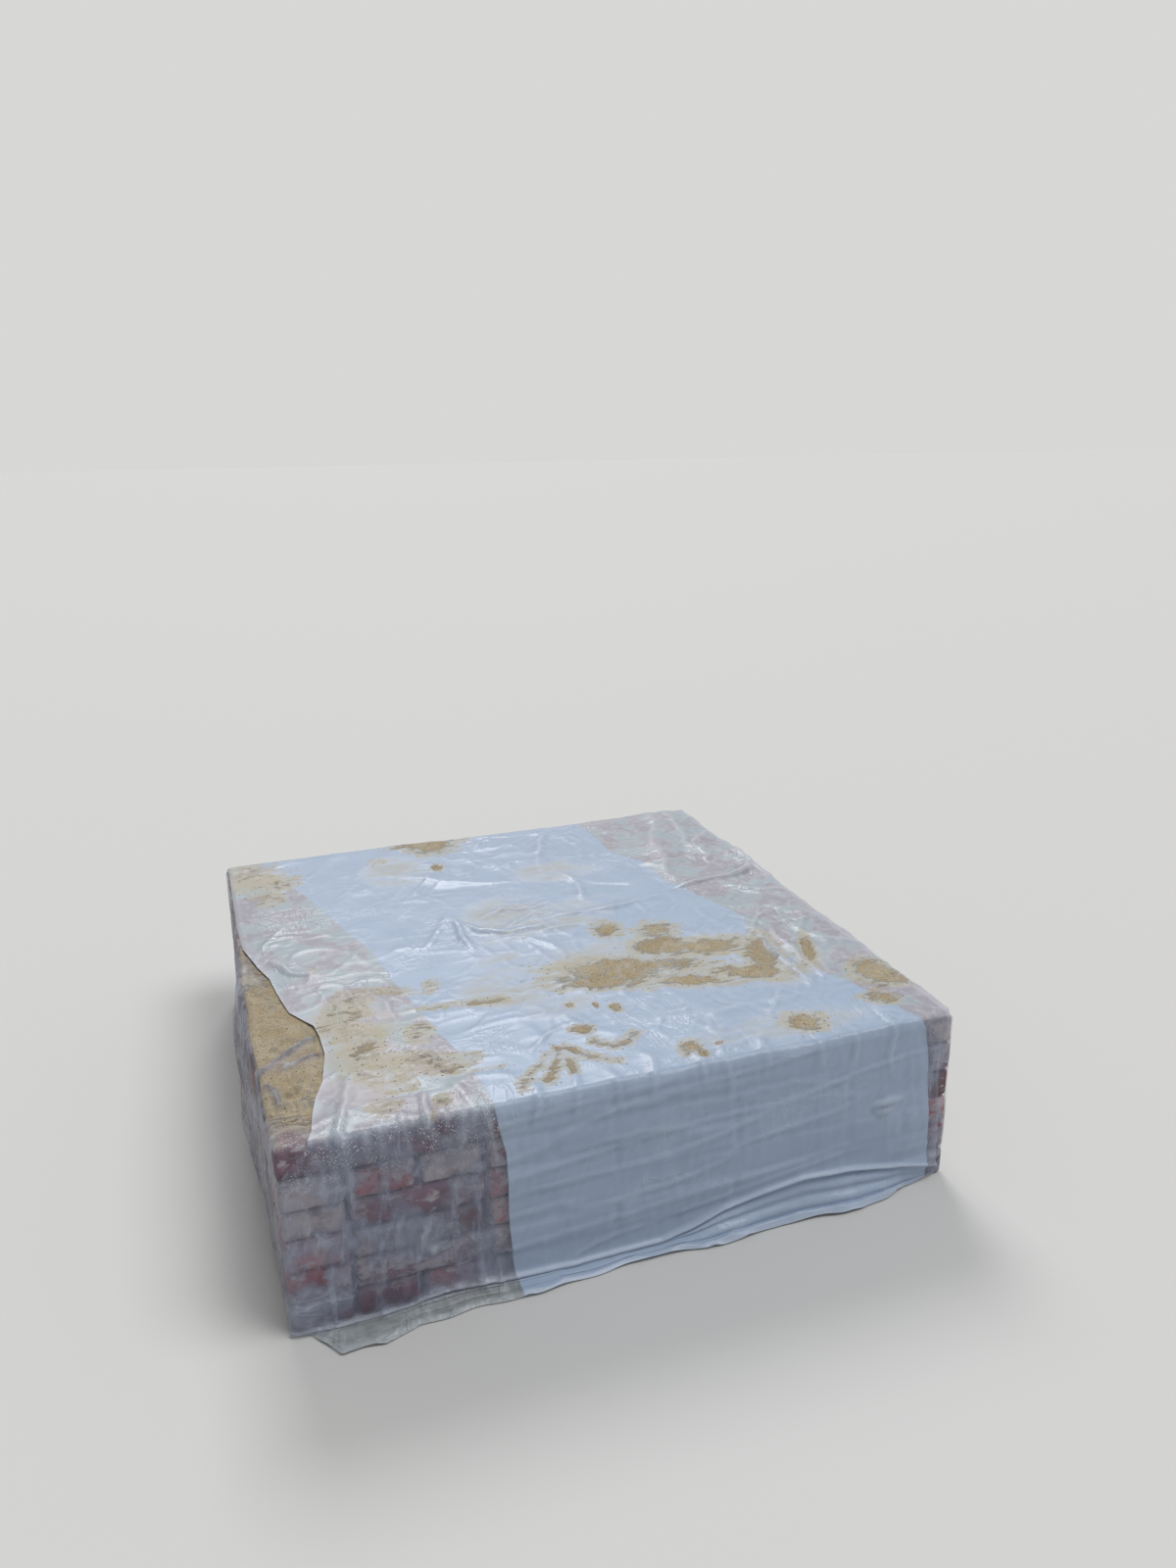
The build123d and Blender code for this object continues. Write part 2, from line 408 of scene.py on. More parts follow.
# The hood before it is moved, as rings: a rounded rectangle goes up the sides, over a round
# edge, and shrinks to the middle of the top. With the points come the ways that they face, how
# far round the pack they lie and how far up and in from its foot.
def hoodRings():
    film = innerFilm
    corner, rim = film["corner"], film["rim"]
    halfX, halfY = filmHigh[:2] - film["setBack"]
    straightX, straightY = halfX - corner, halfY - corner
    # dense outline, read off by length; it starts at the front left and runs to the right
    turn = np.linspace(0, pi / 2, film["cornerCuts"])
    outline, facing = [np.array([[-straightX, -halfY]])], [np.array([-pi / 2])]
    for sideX, sideY, begin in ((1, -1, -pi / 2), (1, 1, 0), (-1, 1, pi / 2), (-1, -1, pi)):
        angle = begin + turn
        outline.append(np.stack([sideX * straightX + corner * np.cos(angle),
                                 sideY * straightY + corner * np.sin(angle)], axis=1))
        facing.append(angle)
    outline, facing = np.concatenate(outline), np.concatenate(facing)
    lengths = np.concatenate([[0], np.cumsum(np.hypot(*np.diff(outline, axis=0).T))])
    total = 4 * (straightX + straightY + corner * pi / 2)
    at = np.linspace(0, total, film["around"], endpoint=False)
    ringX, ringY = (np.interp(at, lengths, outline[:, axis]) for axis in (0, 1))
    ringAngle = np.interp(at, lengths, facing)

    sideZ = np.linspace(film["foot"], stackTop - corner, film["sideRows"])
    bend = np.linspace(0, pi / 2, film["edgeRows"] + 2)[1:-1]
    wider = np.linspace(0, 1, film["topRows"]) ** film["topSpread"]
    inset = np.concatenate([np.linspace(0, rim, film["rimRows"], endpoint=False),
                            rim + (halfX - rim) * wider])
    onTop = np.ones(len(inset))
    rowZ = np.concatenate([sideZ, stackTop - corner + corner * np.sin(bend), stackTop * onTop])
    rowIn = np.concatenate([0 * sideZ, corner - corner * np.cos(bend),
                            corner + inset * (1 - corner / halfX - film["pole"])])
    rowTilt = np.concatenate([0 * sideZ, bend, pi / 2 * onTop])
    shrink, tilt = rowIn[:, None] / halfX, rowTilt[:, None]
    outX, outY = np.cos(ringAngle) * np.cos(tilt), np.sin(ringAngle) * np.cos(tilt)
    z, outZ, lengthwise = np.broadcast_arrays(rowZ[:, None], np.sin(tilt), at)
    return (ringX * (1 - shrink), ringY * (1 - shrink), z, outX, outY, outZ, lengthwise,
            z + rowIn[:, None])


# The inner film: bricks, folds and slack move each point of the hood the way that it faces, and
# the middle of the top is closed by quads that share one point
def makeInnerFilm():
    film = innerFilm
    x, y, z, outX, outY, outZ, lengthwise, upwards = hoodRings()
    sides = [(axis, side, np.clip(side * facing, 0, 1) ** 2) for axis, side, facing in (
        (0, 1, outX), (0, -1, outX), (1, 1, outY), (1, -1, outY), (2, 1, outZ))]
    relief, touch = overSides((x, y, z), sides, wrap["innerDip"])

    # bare of the outer film: the left and right sides, and the strip on the top left
    fromLeft, fromFront = x - frontLeft[0], y - frontLeft[1]
    looseAt = readOff(fromFront * 1000, outerFilm["looseEdge"]) / 1000
    back, width = film["bareFrom"]
    bareTop = outZ ** 2 * eased((looseAt - back - fromLeft) / width)
    relief += outX ** 2 * (crestLines(lengthwise, z, film["sideStreaks"])
                           + swells(lengthwise, z, film["sideSwells"]))
    relief += bareTop * (crestLines(x, y, film["topCrests"]) + swells(x, y, film["topSwells"]))
    # uneven slack on the left side
    alongY, alongZ, swing = film["bulgeWaves"]
    slack = np.sin(y * alongY + z * alongZ) * swing + 1 - swing
    for place, (middle, half) in ((z, film["bulgeHeight"]), (y, film["bulgeDepth"])):
        slack = slack * np.exp(-((place - middle) / half) ** 2)
    relief += np.clip(-outX, 0, 1) * film["bulge"] * slack
    ridges = foldsOn(fromLeft, fromFront, film["ridges"])
    clods = np.clip(sandField(x, y, film["clods"]), 0, 1) ** 0.6
    relief += bareTop * (ridges + swells(x, y, film["lumps"]) + film["clodHeight"] * clods)

    offset = film["gap"] + relief
    points = np.stack([x + offset * outX, y + offset * outY, z + offset * outZ], axis=-1)
    points = clearOfBricks(points.reshape(-1, 3))
    around = x.shape[1]
    ring = len(points) - around + np.arange(around)
    middle = np.full(around // 2, len(points))
    fan = np.stack([ring[::2], ring[1::2], np.roll(ring, -2)[::2], middle], axis=1)
    points = np.concatenate([points, points[ring].mean(axis=0, keepdims=True)])
    faces = np.concatenate([gridFaces(*x.shape, closed=True), fan])

    # masks for painted shade in the relief's hollows and painted highlights on its crests
    hollowShade, crestHighlight = hollowsAndRidges(relief, film["hollowShade"])
    (thinned, far), (dewTo, dewFade) = film["cleanFront"], film["dewyFront"]
    sand = sandField(x, y, film["sand"]) - far * (1 - eased(fromFront / thinned))
    values = {
        "sand": np.where(outZ > 0.5, sand, -1),
        # painted shade in hollows; painted highlights on the clear ridges and crests, which lose
        # sand
        "hollowShade": hollowShade,
        "ridgeHighlightAndDouble": np.where(outZ > 0.5, ridges * 180, 0) + 0.5 * crestHighlight * (1 - 0.8 * bareTop),
        "flatTop": outZ ** 2,
        "touch": touch,
        "dust": bareTop * (1 - 0.4 * eased(fromFront / film["dustFrom"])),
        "dew": bareTop * eased((dewTo - fromFront) / dewFade),
        "around": lengthwise,
        "upwards": upwards,
    }
    # the middle point takes the last ring's mean
    values = {label: np.append(value, value[-1].mean()) for label, value in values.items()}
    across, along = values.pop("around"), values.pop("upwards")
    piece = meshPiece("inner_film_wrap", points, faces, values)
    addFilmUv(piece, across, along)
    return piece


outerFilm = {
    "columns": 240,
    "hemRows": 37,
    "frontRows": 54,
    "edgeRows": 6,
    "topRows": 224,
    "backRows": 30,
    "corner": 0.0075,
    "setBack": (0.0026, 0.0049),  # from the inner film's CAD sides and ends
    "frontGap": 0.0008,       # the front stands this much further out
    "foot": 0.004,
    "gap": 0.0011,            # over the inner film
    "rise": 0.0016,
    "follow": 0.7,            # how much of the bricks' relief it follows
    "turn": 0.011,            # how far in from its ends it turns over the pack's corners
    "highest": 0.0185,        # the most that it stands over the bricks
    "lowest": 0.0012,         # the least that it stands over the ground
    "hollowShade": 0.0016,         # relief that counts as a full hollow or ridge, for the painted shade and highlights
    # Loose left edge on the top and the band's two edges: (along the film from the front edge
    # of the top, from the left), in millimetres; negative is down the front
    "looseEdge": [
        (-300, 0), (-46, 2), (-12, 30), (0, 46), (22, 54), (59, 59), (100, 68), (144, 84),
        (179, 90), (220, 97), (275, 96), (312, 92), (340, 76), (370, 60), (444, 48), (502, 41),
        (547, 27), (637, 7), (751, 3), (861, 4), (1010, 5), (1075, 3), (1100, 0), (1400, 0),
    ],
    "bandLeft": [
        (-300, 320), (-250, 315), (-180, 311), (-110, 311), (-70, 310), (-25, 300), (0, 297),
        (41, 296), (136, 285), (252, 262), (401, 237), (535, 221), (646, 187), (805, 148),
        (1044, 68), (1400, 60),
    ],
    "bandRight": [
        (-330, 1014), (-237, 1011), (-172, 1007), (-80, 1001), (-14, 993), (38, 974), (86, 967),
        (174, 930), (221, 905), (344, 893), (372, 872), (446, 902), (532, 873), (619, 850),
        (653, 834), (770, 826), (846, 791), (945, 786), (1069, 780), (1400, 770),
    ],
    # how far the film's right edge stays back from the pack's, along the film as above
    "rightEdge": [
        (-400, 18), (-291, 20), (-197, 24), (-110, 29), (-30, 27), (-5, 17), (16, 4), (40, 0),
        (1400, 0),
    ],
    # Hem in front, by share of the width from the left: how far its free edge lies out on the
    # ground, and how high the folded-over lip above it stands, in millimetres
    "hemReach": [
        (0.0, 3), (0.025, 5), (0.045, 34), (0.06, 62), (0.09, 58), (0.117, 62), (0.166, 41),
        (0.24, 38), (0.34, 38), (0.43, 32), (0.52, 29), (0.62, 35), (0.72, 29), (0.79, 32),
        (0.85, 38), (0.90, 26), (0.94, 9), (1.0, 2),
    ],
    "hemLip": [
        (0.0, 7), (0.10, 8), (0.154, 12), (0.21, 21), (0.30, 14), (0.40, 11), (0.53, 12),
        (0.58, 24), (0.63, 42), (0.70, 54), (0.76, 62), (0.85, 56), (0.95, 38), (1.0, 26),
    ],
    # profile from the free edge up to the front: shares of the reach and of the lip's height,
    # then plain millimetres added to both
    "hemProfile": [
        (1.00, 0.00, 0, 2), (0.80, 0.12, 0, 4), (0.62, 0.10, 0, 3), (0.55, 0.30, 2, 2),
        (0.30, 0.45, 1, 2), (0.28, 0.66, 3, 0), (0.06, 0.84, 3, 0), (0.00, 0.90, 2, 0),
        (0.08, 1.00, 7, -2), (0.06, 1.00, 7, 2), (0.00, 1.00, 3, 5), (0.00, 1.00, 1, 14),
        (0.00, 1.00, 0, 24),
    ],
    # smears and dabs of sand: (from left, from front, half width, half depth, turn)
    "sand": [
        (718, 381, 51, 35, -21), (614, 308, 54, 27, -20), (559, 338, 37, 36, -20),
        (645, 485, 22, 31, -18), (816, 242, 62, 23, -21), (862, 295, 26, 57, -21),
        (487, 234, 7, 8, 0), (526, 221, 4, 8, 0), (554, 202, 8, 12, 0), (596, 364, 9, 10, 0),
        (478, 156, 14, 11, -21), (613, 44, 13, 17, -18), (625, 28, 7, 8, 0), (658, 42, 6, 5, 0),
        (813, 56, 27, 23, -22), (946, 285, 9, 45, -21), (729, 454, 32, 26, -20),
        (356, 46, 9, 13, -18), (430, 1031, 43, 45, -21), (304, 969, 15, 17, 0),
        (419, 896, 11, 17, -22), (292, 381, 11, 23, -22), (354, 40, 9, 16, -21),
        (128, 344, 16, 48, -22), (150, 286, 19, 60, -21), (161, 212, 22, 43, -22),
        (145, 159, 29, 26, -20), (184, 103, 25, 19, -21), (245, 227, 19, 30, -21),
        (237, 154, 54, 17, -20), (302, 145, 22, 9, -22), (236, 41, 10, 12, -24),
        (157, 48, 20, 18, -20), (212, 3, 5, 17, -22), (163, 366, 24, 25, -22),
        (222, 388, 40, 13, -20), (40, 980, 60, 60, 0), (90, 930, 40, 40, 0), (70, 860, 24, 40, 0),
        (430, 1050, 60, 26, 0), (640, 330, 110, 26, -16), (780, 360, 60, 30, -10),
        (560, 290, 80, 22, -18), (250, 120, 60, 14, -14), (330, 300, 60, 10, -8),
        (700, 250, 60, 18, -20), (1009, 170, 37, 41, -20), (1028, 134, 25, 18, -21),
        (967, 83, 23, 17, -20), (116, 500, 6, 11, 0),
    ],
    # drawn-out strokes of it: path and half width, in millimetres
    "strokes": [
        ([(481, 108), (504, 85), (529, 90), (551, 109)], 9),
        ([(439, 109), (456, 80), (478, 57), (497, 47)], 9), ([(426, 106), (405, 63), (386, 28)], 9),
        ([(405, 99), (385, 70), (356, 46)], 8), ([(431, 75), (427, 41)], 7),
        ([(171, 108), (200, 77)], 10), ([(129, 300), (145, 159), (200, 80)], 9),
    ],
    # thin dust that dulls the film: the same five numbers as the sand
    "dust": [
        (150, 230, 80, 170, 0), (60, 960, 60, 60, 0), (505, 388, 130, 60, -21),
        (406, 329, 80, 70, -21), (456, 274, 90, 70, -20), (488, 603, 90, 100, -19),
        (700, 330, 260, 110, -15), (860, 240, 90, 70, 0), (560, 560, 160, 60, 20),
        (760, 60, 160, 40, 0), (640, 800, 90, 60, 0), (330, 900, 70, 90, 0),
    ],
    # folds: path along the film and from its left, height and width, all in millimetres
    "folds": [
        ([(835, 618), (889, 632), (956, 635), (1008, 651), (1030, 668)], 9, 5),
        ([(971, 1092), (929, 960), (880, 828), (850, 689), (857, 631)], 9, 18),
        ([(1040, 600), (1038, 660), (1040, 700), (1044, 760)], 9, 9),
        ([(1071, 740), (1011, 657), (960, 640)], 7, 8),
        ([(1000, 1090), (985, 960), (960, 820), (975, 730)], 5, 12),
        ([(700, 1040), (640, 900), (610, 780)], 4, 14),
        ([(1045, 900), (1000, 860), (960, 800)], 5, 8),
        ([(1045, 520), (985, 545), (930, 600)], 5, 7),
        ([(1045, 260), (990, 300), (960, 380)], 4, 7), ([(650, 620), (660, 700), (640, 790)], 4, 8),
        ([(889, 405), (879, 310), (878, 229), (884, 160)], 9, 9),
        ([(918, 383), (907, 299), (911, 236), (922, 180)], 7, 6),
        ([(124, 140), (118, 110), (102, 56), (88, 8), (79, -36)], 8, 4),
        ([(84, 144), (110, 158), (124, 140)], 5, 5), ([(60, 30), (84, 40), (102, 56)], 3, 4),
        ([(39, 583), (55, 536), (76, 504), (103, 489), (117, 503)], 9, 5),
        ([(477, 549), (508, 560), (578, 569), (642, 569), (707, 582), (809, 595)], 5, 6),
        ([(395, 591), (423, 557), (471, 528), (547, 546)], 7, 5), ([(379, 632), (312, 522)], 4, 5),
        ([(379, 632), (391, 482)], 5, 5), ([(261, 531), (312, 522)], 2, 4),
        ([(430, 600), (480, 640), (540, 620), (590, 650)], 5, 5),
        ([(470, 500), (560, 520), (640, 510)], 4, 5), ([(620, 760), (700, 700), (780, 660)], 3, 8),
        ([(300, 900), (420, 800), (560, 760)], 3, 10),
        ([(560, 150), (700, 120), (860, 140)], 3, 10), ([(300, 330), (420, 290), (560, 330)], 2, 9),
        ([(960, 480), (1000, 420), (1035, 400)], 4, 6), ([(360, 40), (358, 6), (352, -30)], 5, 4),
        ([(538, 60), (545, 30), (530, -20)], 4, 5), ([(213, 60), (205, 20), (196, -30)], 6, 5),
        ([(260, 70), (268, 20), (262, -18)], 5, 4),
        ([(100, 60), (140, 30), (170, 12), (196, 6)], 3, 4),
        ([(92, 20), (90, -40), (96, -130)], 5, 4), ([(118, 10), (122, -50), (128, -95)], 5, 3.5),
        ([(136, 8), (140, -40), (138, -110)], 4, 3), ([(171, 34), (170, -10), (176, -70)], 6, 4),
        ([(206, 26), (207, -30), (203, -90)], 5, 4), ([(228, 24), (226, -20), (232, -60)], 4, 3.5),
        ([(250, 12), (248, -70)], 3, 3.5), ([(278, 30), (284, -10), (296, -80)], 5, 4),
        ([(62, -18), (52, -100), (54, -170)], 4, 4), ([(24, -50), (58, -72), (90, -70)], 3, 4),
        ([(30, -70), (34, -150)], 4, 4), ([(158, -100), (156, -190)], 3, 4),
        ([(196, -120), (190, -210)], 3, 4), ([(420, 40), (424, -8), (418, -50)], 3, 5),
        ([(470, 24), (476, -40)], 3, 4), ([(610, 36), (612, -30)], 3, 5),
        ([(664, 60), (650, 10), (655, -60)], 4, 5), ([(720, 30), (712, -40)], 3, 5),
        ([(800, 44), (806, -40)], 3, 5), ([(868, 30), (860, -60)], 3, 5),
        ([(940, 60), (930, -20), (936, -80)], 4, 5), ([(1000, 30), (1004, -60)], 4, 4),
        ([(400, -34), (560, -30), (760, -40)], 3, 8), ([(520, -62), (700, -58), (900, -72)], 3, 8),
        ([(380, -90), (520, -84), (640, -98)], 3, 9),
        ([(893, -128), (925, -124), (956, -127)], 9, 7), ([(902, -144), (940, -142)], 6, 5),
    ],
    "foldTaller": 1.5,        # the folds' heights are all taken this much larger
    # the shaded side of the fold across the right part of the top
    "darkCrease": [
        (830, 610), (889, 623), (956, 626), (1010, 642),
    ],
    # upright streaks in the clear sides and level ones in the band, front and back
    "streaks": [(0.0022, 0.12, 0, 0.024, 0.20, 23, 5), (0.00132, -0.4, 0, 0.016, 0.09, 29, 8)],
    "levelStreaks": [(0.0026, -0.1, 0, 0.03, 0.22, 61, 6)],
    "sag": [(0.0050, 0.16, 0.045, 31)],
    # on the top: small wrinkles, long creases, and swells under both
    "wrinkles": [(0.0020, 0.25, 0, 0.035, 0.06, 37, 7), (0.0016, -0.5, 0, 0.06, 0.03, 43, 9)],
    "creases": [(0.0042, 0.4, 0, 0.13, 0.09, 103, 14), (0.0042, -0.7, 0, 0.10, 0.14, 107, 16)],
    "topSwells": [(0.0040, 0.19, 0.15, 47), (0.0018, 0.05, 0.05, 71)],
    # how the creases and folds wander to the sides and lengthwise
    "wanderX": [(0.014, 0.05, 0.05, 127), (0.006, 0.018, 0.018, 139)],
    "wanderY": [(0.014, 0.05, 0.05, 131), (0.006, 0.018, 0.018, 149)],
    # cell sizes and seeds of the patches in which each of them is stronger
    "wrinklePatches": (0.12, 0.12, 67),
    "creasePatches": (0.12, 0.12, 151),
    "slackPatches": (0.11, 0.11, 73),
    "foldPatches": (0.04, 0.04, 137),
    # tents along the right edge of the top: height, reach inwards, cell and seed
    "tents": (0.007, 0.05, 0.055, 97),
    # slack that comes down to the bricks: height, then over what width at the front, back, right
    "slack": 0.0028,
    "brink": (0.06, 0.03, 0.03),
    # waves of the loose edge, the right end and the hem: height, cell and seed
    "edgeWave": (0.0014, 0.07, 53),
    "endWave": (0.004, 0.045, 101),
    "hemWave": (0.007, 0.045, 59),
    "hemCreases": [(0.004, 0, 0.1, 0.09, 0.008, 83, 3)],
    "hemLoose": 0.6,          # share of the hem's rows that waves
    "endReach": 0.03,         # how far in from the right end it waves
    "sagLean": 0.3,
    "wander": 0.010,          # half of what both rows of a wander add up to
    "bandFade": 0.020,        # over what width the upright streaks begin beside the band
    # the loose edge runs between these two places and fades in and out, in millimetres
    "looseRun": (5, 1060, 60),
    "flatter": 0.85,          # how much flatter the film lies along it
    "flatReach": 0.07,
    "edgeDown": 0.0010,       # how far its waves begin below the film
    "edgeReach": 0.02,
    # sand: how much larger its patches are taken, and where it is thin: from what place from
    # the left and over what width it gets thick, the share there and how much is taken off
    "sandLarger": 1.25,
    "thinSand": (300, 90, 0.30, 0.12),
    # rows of the hem's profile: middle, half width and strength, for the whiter double film
    # and for the painted shadow in the slit
    "double": [(8.6, 0.9, 0.9), (0, 0.8, 0.8)],
    "slitShadow": [(6.3, 0.5, 2.0)],
    "slitShadowRun": (0.05, 0.42, 0.15),  # shares of the width: it begins, ends and fades out
    "rims": ((0.35, 0.004), (0.4, 0.002)),  # strength and width, loose edge and right edge
    "dew": ((0.075, 0.04), (0.19, 0.07)),  # ends and fades: back on the top, down the front
    "hemDirt": (0.006, 0.012),  # the hem is dirty from this far out, and how soon
    "creaseHalf": 2.5,        # half width of the dark crease, in millimetres
    "dewyTo": 420,            # the dew is thick up to here from the left, in millimetres
}

outerHalf = filmHigh[:2] - outerFilm["setBack"] + (0, outerFilm["gap"])


# Smooth curve through rows of points, four at a time (a Catmull-Rom curve), read at shares
def throughPoints(points, shares):
    count = len(points)
    at = np.clip(shares, 0, 1) * (count - 1)
    i = np.minimum(at.astype(int), count - 2)
    t = (at - i)[:, None]
    padded = np.concatenate([[2 * points[0] - points[1]], points, [2 * points[-1] - points[-2]]])
    p0, p1, p2, p3 = padded[i], padded[i + 1], padded[i + 2], padded[i + 3]
    return 0.5 * (2 * p1 + (p2 - p0) * t + (2 * p0 - 5 * p1 + 4 * p2 - p3) * t ** 2
                  + (3 * p1 - p0 - 3 * p2 + p3) * t ** 3)


# The outer film before it is moved, as rows along its run: hem, front, round edge, top, round
# edge and back. Each row goes from the film's left edge to its right edge. With the points come
# the ways that they face and the millimetres along the film from the front edge of the top.
def filmRun():
    film = outerFilm
    columns, corner = film["columns"], film["corner"]
    halfX, halfY = outerHalf
    top, front = stackTop + film["gap"], -halfY - film["frontGap"]
    across = np.linspace(0, 1, columns)
    reach, lip = readOff(across, film["hemReach"]), readOff(across, film["hemLip"])
    stations = np.array([(reach * r + plusOut, lip * h + plusUp)
                         for r, h, plusOut, plusUp in film["hemProfile"]]) / 1000
    hem = throughPoints(stations.transpose(0, 2, 1).reshape(len(stations), -1),
                        np.linspace(0, 1, film["hemRows"])).reshape(-1, columns, 2)
    join = stations[-1, 1]
    rise = np.linspace(0, 1, film["frontRows"] + 1)[1:, None]
    bend = np.linspace(0, pi / 2, film["edgeRows"] + 2)[1:-1, None]
    topY = np.linspace(corner - halfY, halfY - corner, film["topRows"])[:, None]
    backZ = np.linspace(top - corner, film["foot"], film["backRows"] + 1)[1:, None]
    sections = [
        (front - hem[..., 0], hem[..., 1], 0),
        (front, join + (top - corner - join) * rise, 0),
        (corner - halfY - corner * np.cos(bend), top - corner + corner * np.sin(bend), bend),
        (topY, top, pi / 2),
        (halfY - corner + corner * np.sin(bend), top - corner + corner * np.cos(bend),
         pi / 2 + bend),
        (halfY, backZ, pi),
    ]
    rows = [np.broadcast_arrays(*section, across)[:3] for section in sections]
    y, z, tilt = (np.concatenate(parts) for parts in zip(*rows))

    step = np.hypot(np.diff(y, axis=0), np.diff(z, axis=0))
    along = np.concatenate([np.zeros((1, columns)), np.cumsum(step, axis=0)])
    edgeRow = film["hemRows"] + film["frontRows"] + film["edgeRows"] // 2
    along = (along - along[edgeRow]) * 1000
    left, right = (readOff(along[:, :1], film[key]) / 1000 for key in ("looseEdge", "rightEdge"))
    return left - halfX + across * (2 * halfX - left - right), y, z, tilt, along


# How far the outer film stands out from its run: the bricks below, streaks and sags on the front
# and back, wrinkles, creases, tents and slack on the top, and the listed folds
def filmRelief(x, y, z, tilt, along):
    film = outerFilm
    halfX, halfY = outerHalf
    onFront, onTop, onBack = (np.clip(facing, 0, 1) ** 2
                              for facing in (np.cos(tilt), np.sin(tilt), -np.cos(tilt)))
    fromLeft, toRight, fromEdge = x + halfX, halfX - x, x - x[:, :1]
    lengthwise = along / 1000
    sides = (1, -1, onFront), (1, 1, onBack)
    overBricks, touch = overSides((x, y, z), sides, wrap["outerDip"])
    overBricks *= film["follow"]

    clear = eased((readOff(along, film["bandLeft"]) / 1000 - fromLeft) / film["bandFade"])
    relief = overBricks + (onFront + onBack) * (
        crestLines(x, z, film["streaks"]) * (0.3 + 0.7 * clear)
        + crestLines(z, x, film["levelStreaks"]) * (1 - clear)
        + swells(x + film["sagLean"] * z, z, film["sag"]))
    shiftX, shiftY = (swells(x, y + z, film[key]) - film["wander"]
                      for key in ("wanderX", "wanderY"))
    creases = crestLines(x, y, film["creases"], shiftX, shiftY)
    creases *= eased((softNoise(x, y, *film["creasePatches"]) - 0.4) / 0.3)
    relief += onTop * ((crestLines(x, y, film["wrinkles"]) + creases)
                       * softNoise(x, y, *film["wrinklePatches"])
                       + swells(x, y, film["topSwells"]))
    height, reach, cell, seed = film["tents"]
    relief += onTop * height * np.exp(-toRight / reach) * softWave(y, cell, seed) ** 2
    gaps = zip((y + halfY, halfY - y, toRight), film["brink"])
    down = eased(np.minimum.reduce([gap / width for gap, width in gaps]))
    relief += onTop * film["slack"] * down * (0.45 + 0.55 * softNoise(x, y, *film["slackPatches"]))
    folds = foldsOn(fromLeft + shiftX, lengthwise + shiftY, film["folds"], film["foldTaller"])
    folds *= 0.45 + 0.8 * softNoise(x, lengthwise, *film["foldPatches"])
    folds *= 1 - 0.3 * eased((0.1 - lengthwise) / 0.05)
    relief += folds

    # the loose edge lies flatter, and stands up in uneven waves
    begin, end, fade = film["looseRun"]
    free = eased((along - begin) / fade) * eased((end - along) / fade)
    relief *= 1 - free * onTop * film["flatter"] * (1 - eased(fromEdge / film["flatReach"]))
    height, cell, seed = film["edgeWave"]
    wave = 0.35 + 0.65 * softWave(lengthwise, cell, seed)
    relief += (height * wave - film["edgeDown"]) * np.exp(-fromEdge / film["edgeReach"]) * free
    # it turns towards the sides of the pack at both ends
    turn = film["turn"]
    for gap in (toRight, fromLeft):
        relief -= turn - np.sqrt(turn ** 2 - np.clip(turn - gap, 0, turn) ** 2)
    return relief, overBricks, touch, folds, free, shiftX, shiftY


